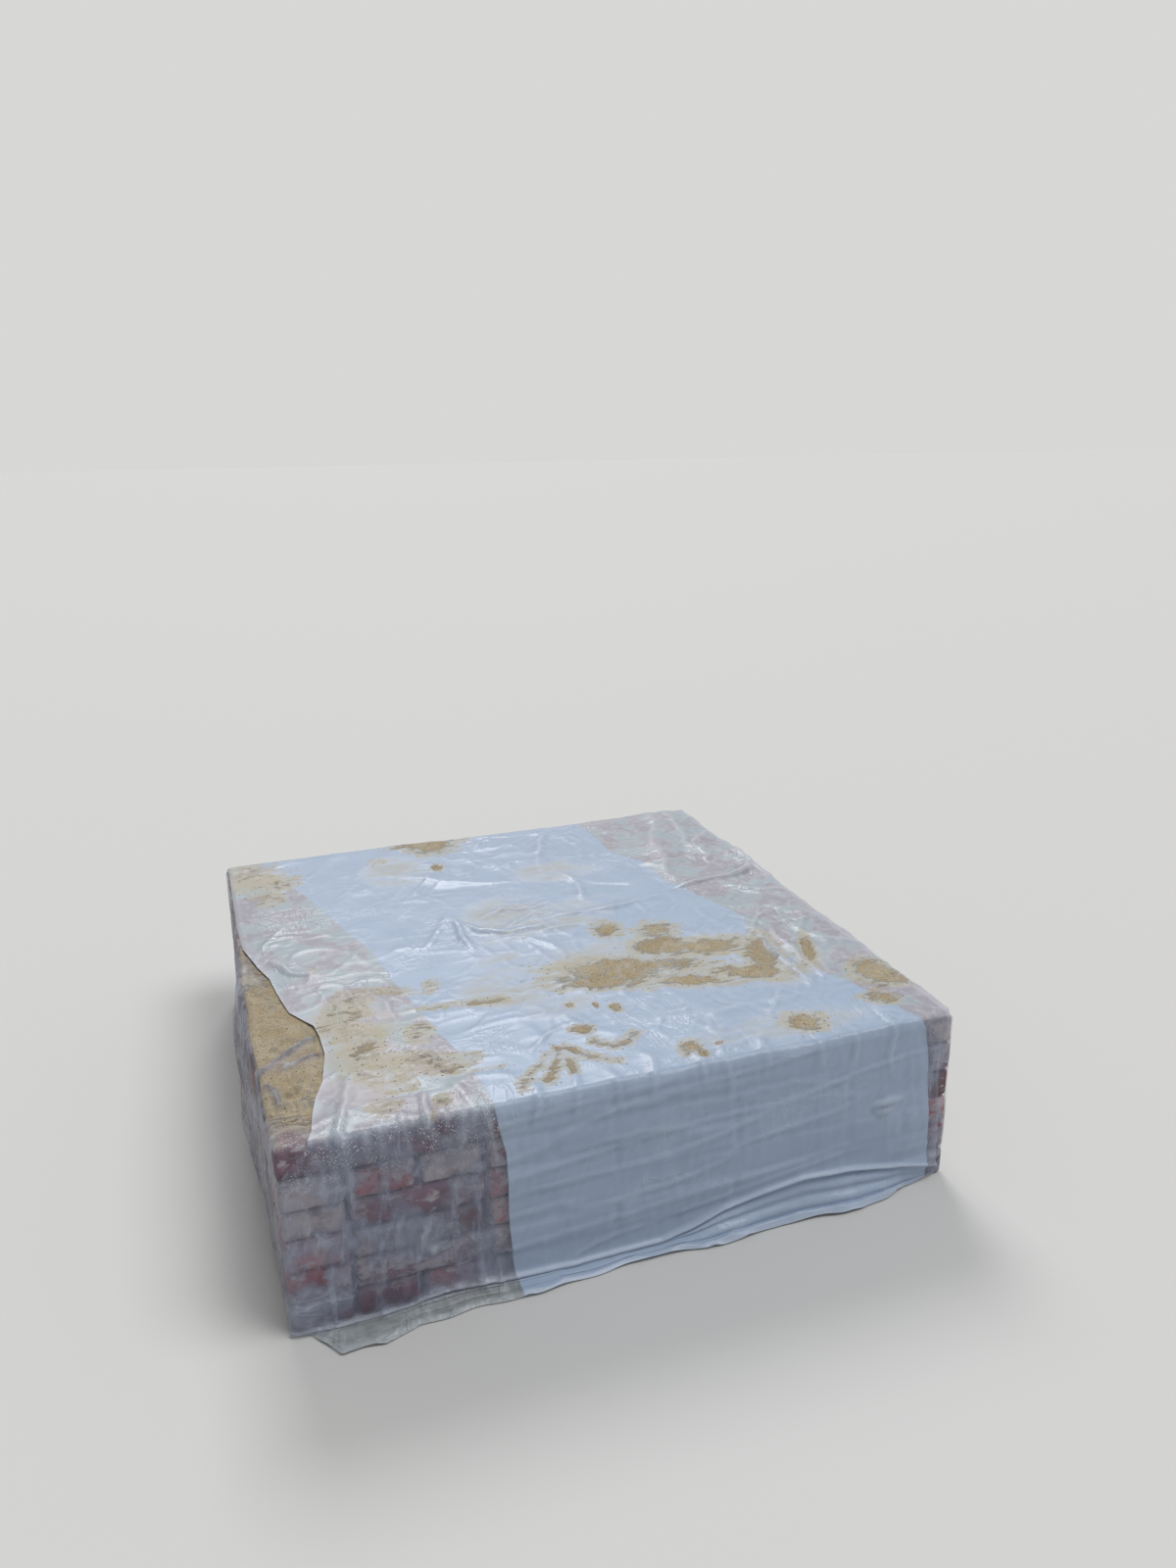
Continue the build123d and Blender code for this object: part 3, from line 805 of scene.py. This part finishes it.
# The outer film: the relief moves each point of the run the way that it faces, less so towards
# the free edge of the hem, and no fold stands higher over the bricks than the slack allows
def makeOuterFilm():
    film = outerFilm
    x, y, z, tilt, along = filmRun()
    outY, outZ = -np.cos(tilt), np.sin(tilt)
    onFront, onTop = np.clip(-outY, 0, 1) ** 2, outZ ** 2
    relief, overBricks, touch, folds, free, shiftX, shiftY = filmRelief(x, y, z, tilt, along)
    halfX, halfY = outerHalf
    fromLeft, toRight, fromEdge = (x + halfX) * 1000, halfX - x, x - x[:, :1]
    lengthwise, fromFront = along / 1000, y + halfY
    rowNumber, hemRows = np.arange(len(x))[:, None], film["hemRows"]
    held = np.clip(0.1 + 0.9 * rowNumber / (hemRows - 1), 0, 1) ** 2
    offset = film["rise"] + relief * held
    over = np.maximum(offset, 0) / film["highest"]
    offset = np.where(offset > 0, offset / (1 + over ** 4) ** 0.25, offset)

    # free corners of the hem and the film's right end wave a little
    loose = np.clip(1 - rowNumber / (film["hemLoose"] * hemRows), 0, 1)
    height, cell, seed = film["hemWave"]
    outwards = loose * (softWave(x, cell, seed) - 0.5) * height
    upwards = loose * crestLines(x, z, film["hemCreases"])
    height, cell, seed = film["endWave"]
    x = x + height * eased(1 - toRight / film["endReach"]) * softWave(lengthwise, cell, seed)
    points = np.stack([x, y + offset * outY + outwards, z + offset * outZ + upwards], axis=-1)
    points[..., 2] = np.maximum(points[..., 2], film["lowest"])

    # masks for painted shade in the relief's hollows and painted highlights on its crests
    hollowShade, crestHighlight = hollowsAndRidges(offset - overBricks, film["hollowShade"])
    sand = sandField(x, y, film["sand"], film["sandLarger"])
    for path, width in film["strokes"]:
        sand = np.maximum(sand, 0.5 * (1 - alongPath(fromLeft, along, path)[0] / width))
    # the smears on the left are thin and soft
    begin, fade, least, less = film["thinSand"]
    thick = eased((fromLeft - begin) / fade)
    sand = np.where(sand > 0, sand * (least + (1 - least) * thick), sand) - less * (1 - thick)
    # the film lies double along its free edge and on the lip, so it is whiter there, and a
    # painted shadow darkens the slit between its leaves
    place = rowNumber / (hemRows - 1) * (len(film["hemProfile"]) - 1)
    double, slitShadow = (sum(depth * np.exp(-((place - middle) / half) ** 2)
                        for middle, half, depth in film[key]) for key in ("double", "slitShadow"))
    across = np.linspace(0, 1, film["columns"])
    begins, ends, fades = film["slitShadowRun"]
    slitShadow = slitShadow * eased((ends - across) / fades) * eased(across / begins)
    crease = alongPath(fromLeft + 1000 * shiftX, along + 1000 * shiftY, film["darkCrease"])[0]
    shade = np.exp(-crease / film["creaseHalf"]) * onTop
    rim = sum(depth * np.exp(-gap / half) * share for (depth, half), gap, share in zip(
        film["rims"], (fromEdge, x[:, -1:] - x), (free, onFront)))
    (topTo, topFade), (frontFrom, frontFade) = film["dew"]
    dewTop = eased((topTo - fromFront) / topFade) * onTop
    dewFront = eased((z - frontFrom) / frontFade) * onFront
    hemFrom, hemFade = film["hemDirt"]
    bandLeft, bandRight = (readOff(along, film[key]) for key in ("bandLeft", "bandRight"))
    piece = meshPiece("outer_film_wrap", points.reshape(-1, 3), gridFaces(*x.shape), {
        "band": np.minimum(fromLeft - bandLeft, bandRight - fromLeft) / 1000,
        "dust": eased(sandField(x, y, film["dust"]) * 1.5 + 0.3) * onTop,
        "dew": np.maximum(dewTop, dewFront) * np.where(fromLeft < film["dewyTo"], 1.0, 0.25),
        "sand": np.where(outZ > 0.5, sand, -1),
        # painted shade in hollows, the dark crease and the hem's slit; painted highlights on crests
        # and folds, with the real whiteness of double film at its edges and lip
        "hollowShade": np.maximum(hollowShade * np.clip(place / 9, 0, 1), shade + slitShadow),
        "ridgeHighlightAndDouble": 0.45 * crestHighlight + np.clip(folds * 40, 0, 0.25) + double + rim,
        "flatTop": onTop,
        "touch": touch,
        "hem": eased((-fromFront - film["frontGap"] - hemFrom) / hemFade) * onFront,
    })
    addFilmUv(piece, fromLeft / 1000, lengthwise)
    return piece


# A shader node of a kind, with its settings
def addNode(tree, kind, **values):
    node = tree.nodes.new("ShaderNode" + kind)
    for key, value in values.items():
        setattr(node, key, value)
    return node


# The tree that the first of these sources lies in
def treeOf(*sources):
    return next(source.id_data for source in sources if isinstance(source, bpy.types.NodeSocket))


# Links source sockets into a node's sockets, or sets their values
def feed(node, **sources):
    feedAll(sources.values(), [node.inputs[name] for name in sources])


# The same for sources and sockets given side by side
def feedAll(sources, sockets):
    for source, socket in zip(sources, sockets):
        if isinstance(source, bpy.types.NodeSocket):
            socket.id_data.links.new(source, socket)
        else:
            socket.default_value = source


# One sum on up to three sockets or numbers
def maths(operation, *sources):
    node = addNode(treeOf(*sources), "Math", operation=operation)
    feedAll(sources, node.inputs)
    return node.outputs[0]


# One value times another
def times(first, second):
    return maths("MULTIPLY", first, second)


# The larger of two values
def larger(first, second):
    return maths("MAXIMUM", first, second)


# The base plus a share of the value
def plus(base, value, share):
    return maths("MULTIPLY_ADD", value, share, base)


# A colour that goes from the first to the second as the factor goes from 0 to 1
def blend(factor, first, second):
    node = addNode(treeOf(factor), "Mix", data_type="RGBA")
    feedAll((factor, first, second), (node.inputs["Factor"], *node.inputs[6:8]))
    return node.outputs[2]


# A smooth step: from start to end as the value goes from low to high
def stepped(value, low, high, start=0.0, end=1.0):
    node = addNode(treeOf(value), "MapRange", interpolation_type="SMOOTHSTEP")
    feedAll((value, low, high, start, end), node.inputs)
    return node.outputs[0]


# Noise in 0..1. Where the scale is three numbers, they stretch it.
def noise(vector, scale, detail=3.0, roughness=0.5, distortion=0.0):
    tree = treeOf(vector)
    if isinstance(scale, tuple):
        mapping = addNode(tree, "Mapping")
        feed(mapping, Vector=vector, Scale=scale)
        vector, scale = mapping.outputs[0], 1.0
    node = addNode(tree, "TexNoise")
    feed(node, Vector=vector, Scale=scale, Detail=detail, Roughness=roughness,
         Distortion=distortion)
    return node.outputs[0]


# Round cells: how far each place is from its cell's middle, and the cell's own colour
def cellsAt(vector, scale):
    node = addNode(treeOf(vector), "TexVoronoi")
    feed(node, Vector=vector, Scale=scale)
    return node.outputs["Distance"], node.outputs["Color"]


# A value that the mesh carries on its points
def attribute(tree, name):
    return addNode(tree, "Attribute", attribute_name=name).outputs["Fac"]


# Turns a height into the surface's normal
def addBump(surface, height, strength, distance):
    bump = addNode(surface.id_data, "Bump")
    feed(bump, Strength=strength, Distance=distance, Height=height)
    feed(surface, Normal=bump.outputs["Normal"])


# A node group with its sockets, and the nodes at which it is entered and left
def newGroup(name, inputs, outputs):
    group = bpy.data.node_groups.new(name, "ShaderNodeTree")
    for sockets, way in ((inputs, "INPUT"), (outputs, "OUTPUT")):
        for label, kind in sockets.items():
            group.interface.new_socket(label, in_out=way, socket_type="NodeSocket" + kind)
    return group, group.nodes.new("NodeGroupInput"), group.nodes.new("NodeGroupOutput")


# A group placed in a tree, with a source for each of its inputs
def placeGroup(tree, group, **values):
    node = addNode(tree, "Group", node_tree=group)
    feed(node, **values)
    return node


# A material with its tree and its surface shader
def newMaterial(name):
    material = bpy.data.materials.new(name)
    material.use_nodes = True
    tree = material.node_tree
    return material, tree, tree.nodes["Principled BSDF"]


# Places on the object, in metres
def objectPlaces(tree):
    return addNode(tree, "TexCoord").outputs["Object"]


sandLook = {
    # noises: scale or stretch, detail, roughness, distortion
    "coarse": (20.0, 4.0, 0.66, 0.7),
    "drawn": ((26, 110, 60), 3.0, 0.65, 0.6),
    "fine": (420.0, 1.0, 0.7),
    "streaky": ((40, 160, 60), 4.0, 0.7, 0.4),
    "drawnShare": 1.3,
    "fineShare": 0.3,
    # steps: from and to, then the values there where they aren't 0 and 1
    "thinRim": (-0.34, -0.12),
    "thinStreaks": (0.3, 0.7, 0.35, 0.9),
    "thickRim": (0.18, 0.48),
    "heaps": (0.38, 0.62),
    "dampStreaks": (0.56, 0.74),
    "grains": (0.50, 0.36),
    "crumbRim": (0.30, 0.16),
    "crumbReach": (-0.9, -0.1),
    "crumbScale": 210.0,
    "crumbless": 0.66,        # share of the cells that hold no crumb
    "thinColour": (0.455, 0.41, 0.30, 1),
    "heapLow": (0.45, 0.395, 0.285, 1),
    "heapHigh": (0.385, 0.315, 0.205, 1),
    "dampColour": (0.23, 0.17, 0.105, 1),
    "grainColour": (0.19, 0.13, 0.08, 1),
}


# Sand: the field on the points, broken up by coarse, drawn-out and fine noise. Thin sandy water
# has a clear rim, thick sand lies in its middle, and loose crumbs lie about it.
def sandGroup():
    look = sandLook
    group, enter, leave = newGroup(
        "sandStains", {"Vector": "Vector", "Field": "Float", "Spread": "Float", "Damp": "Float"},
        {"Mask": "Float", "Colour": "Color", "Height": "Float"})
    vector, ragged, spread, wetness = (enter.outputs[name]
                                       for name in ("Vector", "Field", "Spread", "Damp"))
    coarse, drawn, fine, streaky = (noise(vector, *look[key])
                                    for key in ("coarse", "drawn", "fine", "streaky"))
    weights = spread, look["drawnShare"], look["fineShare"]
    for source, weight in zip((coarse, drawn, fine), weights):
        ragged = plus(ragged, maths("SUBTRACT", source, 0.5), weight)
    thin = times(stepped(ragged, *look["thinRim"]),
                 stepped(streaky, *look["thinStreaks"]))
    thick = stepped(ragged, *look["thickRim"])
    away, own = cellsAt(vector, look["crumbScale"])
    held = maths("GREATER_THAN", noise(own, 5.0, 0.0), look["crumbless"])
    crumb = times(stepped(away, *look["crumbRim"]), held)
    crumb = times(crumb, stepped(ragged, *look["crumbReach"]))
    feed(leave, Mask=larger(larger(thin, thick), crumb))
    heaped = blend(stepped(coarse, *look["heaps"]),
                   look["heapLow"], look["heapHigh"])
    sand = blend(thick, look["thinColour"], heaped)
    damp = times(stepped(streaky, *look["dampStreaks"]), thick)
    sand = blend(times(damp, wetness), sand, look["dampColour"])
    grains = times(stepped(fine, *look["grains"]), plus(0.1, thick, 0.5))
    grains = larger(grains, crumb)
    feed(leave, Colour=blend(grains, sand, look["grainColour"]))
    height = times(plus(times(coarse, 1.5), fine, 0.5), thick)
    feed(leave, Height=maths("ADD", height, crumb))
    return group


filmLook = {
    # sets of wrinkles: stretch, sharpness and height
    "wrinkles": (((9, 9, 9), 40.0, 1.0), ((30, 7, 9), 12.0, 0.6), ((7, 32, 9), 12.0, 0.6),
                 ((13, 13, 44), 10.0, 0.55), ((50, 46, 34), 5.0, 0.16)),
    "wrinkleNoise": (2.0, 0.55, 1.1),
    "wrinklePatches": ((7, 9, 11), 1.0, 0.6, 0.8),
    "dewScale": 300.0,
    "dewRim": (0.42, 0.18),
    "dewPatches": (24.0, 2.0, 0.7),
    "dewPatchRim": (0.40, 0.56),
    "dustPatches": ((9, 20, 9), 4.0, 0.65, 0.5),
    "dustRim": (0.34, 0.62),
    # layers over the film's own colour: share and colour. Dust is real; the crest and ridge
    # layers are painted highlights, the ridge layer with the whiteness of double film, and the
    # hollow layer is painted shade
    "dusty": (0.62, (0.48, 0.455, 0.375, 1)),
    "crestHighlight": (0.35, (0.72, 0.76, 0.82, 1)),
    "ridgeHighlightAndDouble": (0.35, (0.66, 0.70, 0.77, 1)),
    "hollowShade": (0.40, (0.13, 0.13, 0.15, 1)),
    "drop": (0.80, 0.83, 0.88, 1),
    "specular": 0.27,
    "bump": (1.0, 0.0013),
    # milkiness: clouds, upright streaks, and the colours on the sides and on the top; the
    # sides' colours hold painted shade, darker and bluer than the top's
    "clouds": ((15, 15, 13), 3.0, 0.6),
    "cloudRim": (0.42, 0.62),
    "milkier": 0.36,
    "milkyStreaks": ((60, 60, 7), 3.0, 0.6, 0.3),
    "streakRim": (0.54, 0.68),
    "upright": ((0.27, 0.31, 0.44, 1), (0.40, 0.43, 0.55, 1)),
    "litTop": ((0.44, 0.42, 0.48, 1), (0.36, 0.42, 0.47, 1)),
    # the band: its edge, its colour and the dirt on it, then the colour of the hem
    "bandRim": (-0.0008, 0.0012),
    "band": (0.375, 0.465, 0.61, 1),
    "dirt": (130.0, 4.0, 0.7),
    "dirtRim": (0.5, 0.85, 0.0, 0.35),
    "dirtColour": (0.34, 0.38, 0.41, 1),
    "hem": (0.31, 0.345, 0.33, 1),
}


# Wrinkles of thin film: lines where stretched noises pass their middle value, made sharp by a
# power, as a height and as a mask of their crests, where highlights are painted. They come in
# patches, fewer where it is calm.
def wrinkleGroup():
    look = filmLook
    group, enter, leave = newGroup("filmWrinkles", {"Vector": "Vector", "Calm": "Float"},
                                   {"Height": "Float", "Crest": "Float"})
    vector, calm = enter.outputs["Vector"], enter.outputs["Calm"]
    height, crestHighlight = 0.0, 0.0
    for stretch, sharp, weight in look["wrinkles"]:
        lines = noise(vector, stretch, *look["wrinkleNoise"])
        away = maths("ABSOLUTE", maths("SUBTRACT", lines, 0.5))
        line = maths("POWER", plus(1.0, away, -2.0), sharp)
        height = plus(height, line, weight)
        crestHighlight = larger(crestHighlight, times(line, weight))
    patches = noise(vector, *look["wrinklePatches"])
    least = plus(0.40, calm, 0.06)
    share = stepped(patches, least, maths("ADD", least, 0.2), 0.12)
    share = times(share, plus(1.0, calm, -0.45))
    feed(leave, Height=times(height, share))
    feed(leave, Crest=times(crestHighlight, share))
    return group


# Drops of dew under the film: round cells, only some of them wet, where the amount allows it
def dewGroup():
    look = filmLook
    group, enter, leave = newGroup("dewDrops", {"Vector": "Vector", "Amount": "Float"},
                                   {"Mask": "Float"})
    vector = enter.outputs["Vector"]
    drop = stepped(cellsAt(vector, look["dewScale"])[0], *look["dewRim"])
    wet = stepped(noise(vector, *look["dewPatches"]), *look["dewPatchRim"])
    amount = times(wet, enter.outputs["Amount"])
    feed(leave, Mask=times(drop, amount))
    return group


brickLook = {
    "clouds": (26.0, 5.0, 0.65),
    "grain": (320.0, 4.0, 0.7),
    "creases": ((34, 34, 60), 4.0, 0.66, 0.35),
    "limeShare": 0.22,        # how much more lime one brick has than another
    # layers over the clay: steps with the shares there, and the colour
    "dark": ((0.44, 0.64, 0.0, 0.6), (0.075, 0.045, 0.045, 1)),
    "limed": ((0.57, 0.72, 0.0, 0.8), (0.62, 0.57, 0.59, 1)),
    "dusty": ((0.5, 0.8, 0.0, 0.4), (0.36, 0.25, 0.20, 1)),
    "roughness": 0.92,
    "bump": (0.6, 0.003),
}


# Moulded brick: its tone picks one of seven clays, with dark clouds, lime and grain over it
def brickMaterial(name, tone, lime):
    look = brickLook
    material, tree, surface = newMaterial(name)
    where = objectPlaces(tree)
    ramp = addNode(tree, "ValToRGB")
    feed(ramp, Fac=tone(tree))
    ramp.color_ramp.interpolation = "CONSTANT"
    stops, tones, clays = ramp.color_ramp.elements, bricks["tones"], bricks["clays"]
    stops.remove(stops[1])
    stops[0].color = (*clays[0], 1)
    for before, after, clay in zip(tones, tones[1:], clays[1:]):
        stops.new((before + after) / 2).color = (*clay, 1)
    clouds, grain, creased = (noise(where, *look[key])
                              for key in ("clouds", "grain", "creases"))
    limed = plus(creased, lime(tree), look["limeShare"])
    colour = ramp.outputs["Color"]
    for source, key in ((clouds, "dark"), (limed, "limed"), (grain, "dusty")):
        steps, over = look[key]
        colour = blend(stepped(source, *steps), colour, over)
    feed(surface, **{"Base Color": colour, "Roughness": look["roughness"]})
    height = plus(times(grain, 0.3), creased, 0.7)
    addBump(surface, height, *look["bump"])
    return material


# The film's surface from what it is made of: its colour and cover under dust, dew and sand,
# with painted highlights on crests and ridges, the whiter double film, painted shade in
# hollows, and its wrinkles. Cover is how much of what lies below it hides.
def finishFilm(tree, surface, where, groups, colour, cover, spread, damp, wet, calm):
    look = filmLook
    sand, wrinkles, dew = groups
    stains = placeGroup(tree, sand, Vector=where, Field=attribute(tree, "sand"), Spread=spread,
                        Damp=damp)
    creases = placeGroup(tree, wrinkles, Vector=where, Calm=calm)
    drops = placeGroup(tree, dew, Vector=where, Amount=wet).outputs["Mask"]
    ridgeHighlightAndDouble, crestHighlight = attribute(tree, "ridgeHighlightAndDouble"), creases.outputs["Crest"]
    bare = maths("SUBTRACT", 1.0, maths("MINIMUM", ridgeHighlightAndDouble, 0.85))
    mask = times(stains.outputs["Mask"], bare)
    patches = stepped(noise(where, *look["dustPatches"]), *look["dustRim"])
    dusty = times(attribute(tree, "dust"), patches)
    # dust is real; crests and ridges get painted highlights, and hollows get painted shade
    for source, key in ((dusty, "dusty"), (crestHighlight, "crestHighlight"), (ridgeHighlightAndDouble, "ridgeHighlightAndDouble"),
                        (attribute(tree, "hollowShade"), "hollowShade")):
        share, over = look[key]
        colour = blend(times(source, share), colour, over)
    colour = blend(drops, colour, look["drop"])
    feed(surface, **{"Base Color": blend(mask, colour, stains.outputs["Colour"])})
    cover = plus(plus(cover, dusty, 0.30), crestHighlight, 0.22)
    cover = larger(cover, times(drops, 0.8))
    cover = larger(cover, times(mask, 0.97))
    feed(surface, Alpha=maths("MINIMUM", cover, 1.0))
    rough = larger(plus(0.28, dusty, 0.35), times(mask, 0.9))
    feed(surface, Roughness=rough)
    surface.inputs["Specular IOR Level"].default_value = look["specular"]
    height = plus(creases.outputs["Height"], drops, 0.4)
    height = plus(height, stains.outputs["Height"], 1.5)
    addBump(surface, height, *look["bump"])


# How milky clear film is: least where it lies on a brick, more over the joints, in upright
# streaks and on the top. Its colour comes with it, with painted shade on the sides, which are
# darker and bluer than the top.
def milkiness(tree, where, least):
    look = filmLook
    clouds = noise(where, *look["clouds"])
    streaks = stepped(noise(where, *look["milkyStreaks"]), *look["streakRim"])
    cover = stepped(clouds, *look["cloudRim"], least, least + look["milkier"])
    cover = plus(cover, maths("SUBTRACT", 1.0, attribute(tree, "touch")), 0.14)
    cover = plus(cover, streaks, 0.28)
    # painted shade: the sides' colour is darker and bluer than the top's
    upright = blend(clouds, *look["upright"])
    litTop = blend(stepped(clouds, 0.40, 0.60), *look["litTop"])
    return cover, blend(attribute(tree, "flatTop"), upright, litTop)


# Clear film: milky, more so on the top
def clearFilmMaterial(groups):
    material, tree, surface = newMaterial("clearFilm")
    where = objectPlaces(tree)
    cover, milky = milkiness(tree, where, 0.13)
    flatTop = attribute(tree, "flatTop")
    cover = plus(cover, flatTop, 0.05)
    finishFilm(tree, surface, where, groups, milky, cover, spread=1.6, damp=0.7,
               wet=attribute(tree, "dew"), calm=flatTop)
    return material


# Banded film: the same film with an opaque bluish white band
def bandedFilmMaterial(groups):
    look = filmLook
    material, tree, surface = newMaterial("bandedFilm")
    where = objectPlaces(tree)
    cover, milky = milkiness(tree, where, 0.12)
    flatTop, hem = attribute(tree, "flatTop"), attribute(tree, "hem")
    band = stepped(attribute(tree, "band"), *look["bandRim"])
    dirt = stepped(noise(where, *look["dirt"]), *look["dirtRim"])
    milky = blend(times(hem, 0.8), milky, look["hem"])
    for source, share in ((flatTop, 0.56), (hem, 0.35), (attribute(tree, "ridgeHighlightAndDouble"), 0.25)):
        cover = plus(cover, source, share)
    cover = larger(cover, times(band, 0.97))
    dew = times(attribute(tree, "dew"), maths("SUBTRACT", 1.0, band))
    colour = blend(band, milky, blend(dirt, look["band"], look["dirtColour"]))
    finishFilm(tree, surface, where, groups, colour, cover, spread=1.8, damp=0.2, wet=dew,
               calm=larger(flatTop, times(band, 1.4)))
    return material


mouldedBrick = brickMaterial("mouldedBrick", lambda tree: attribute(tree, "tone"),
                             lambda tree: attribute(tree, "lime"))
coreBrick = brickMaterial("coreBrick", lambda tree: 0.3, lambda tree: 0.4)
for layer in layers:
    piece = mouldedLayer(layer)
    piece.data.materials.append(mouldedBrick)
    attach(piece, "root")
    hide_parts(f"brick_layer_{layer}")
for slot in nodes["hidden_core"].material_slots:
    slot.material = coreBrick
print("bricks formed")

filmGroups = sandGroup(), wrinkleGroup(), dewGroup()
innerWrap = makeInnerFilm()
innerWrap.data.materials.append(clearFilmMaterial(filmGroups))
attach(innerWrap, "root")
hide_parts("inner_film")
print("inner film", len(innerWrap.data.polygons), "quads")

outerWrap = makeOuterFilm()
outerWrap.data.materials.append(bandedFilmMaterial(filmGroups))
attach(outerWrap, "root")
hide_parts("outer_film")
print("outer film", len(outerWrap.data.polygons), "quads")

studio = {
    "floorHalf": 30,
    "floorColour": (0.66, 0.66, 0.65, 1),
    "floorRoughness": 0.9,
    "skyColour": (1, 1, 1, 1),
    "skyStrength": 0.34,
    "backdropColour": (1, 1, 0.985, 1),
    "backdropStrength": 0.68,
    # two lamps: strength, degrees across for soft shadows, and how far the light leans
    # forwards and to the right on its way down, in degrees
    "lamps": {"softOverhead": (1.20, 30, -12, 24), "softBehind": (1.30, 24, 44, 8)},
}

floorCorners = np.array([(-1, -1, 0), (1, -1, 0), (1, 1, 0), (-1, 1, 0)]) * studio["floorHalf"]
floor = meshPiece("studio_floor", floorCorners, np.array([[0, 1, 2, 3]]))
floorMaterial, floorTree, floorSurface = newMaterial("studioFloor")
feed(floorSurface, **{"Base Color": studio["floorColour"], "Roughness": studio["floorRoughness"]})
floor.data.materials.append(floorMaterial)

# The sky lights the scene, and a brighter backdrop is seen by the camera and in reflections
world = bpy.data.worlds.new("studioSky")
bpy.context.scene.world = world
world.use_nodes = True
sky = world.node_tree
lit, seen = sky.nodes["Background"], addNode(sky, "Background")
for shader, kind in ((lit, "sky"), (seen, "backdrop")):
    feed(shader, Color=studio[kind + "Colour"], Strength=studio[kind + "Strength"])
path = addNode(sky, "LightPath")
either = larger(path.outputs["Is Camera Ray"], path.outputs["Is Glossy Ray"])
either = larger(either, path.outputs["Is Transmission Ray"])
join = addNode(sky, "MixShader")
feedAll((either, lit.outputs[0], seen.outputs[0]), join.inputs)
feed(sky.nodes["World Output"], Surface=join.outputs[0])

for name, (strength, across, forwards, rightwards) in studio["lamps"].items():
    light = bpy.data.lights.new(name, "SUN")
    light.energy, light.angle = strength, radians(across)
    lamp = bpy.data.objects.new(name, light)
    lamp.rotation_euler = (radians(-forwards), radians(rightwards), 0)
    bpy.context.scene.collection.objects.link(lamp)

view = {
    "place": (-0.5666, -1.8942, 1.1941),
    "yaw": 19.385,            # to the right of straight ahead
    "pitch": 17.468,          # down
    "roll": 0.504,
    "lens": 26.89,
    "sensor": 36,
}


# The camera's own axes: X right, Y up and Z backwards, turned by yaw, pitch and roll
def placeCamera():
    yaw, pitch, roll = (radians(view[key]) for key in ("yaw", "pitch", "roll"))
    forward = np.array([sin(yaw) * cos(pitch), cos(yaw) * cos(pitch), -sin(pitch)])
    right = np.array([cos(yaw), -sin(yaw), 0.0])
    down = np.cross(forward, right)
    axisX = cos(roll) * right + sin(roll) * down
    axisY = sin(roll) * right - cos(roll) * down
    data = bpy.data.cameras.new("photoView")
    data.lens, data.sensor_width = view["lens"], view["sensor"]
    camera = bpy.data.objects.new("photoView", data)
    matrix = np.eye(4)
    matrix[:3] = np.stack([axisX, axisY, -forward, view["place"]], axis=1)
    camera.matrix_world = Matrix(matrix.tolist())
    bpy.context.scene.collection.objects.link(camera)
    bpy.context.scene.camera = camera


placeCamera()
bpy.context.scene.view_settings.view_transform = "Standard"
print("studio set")
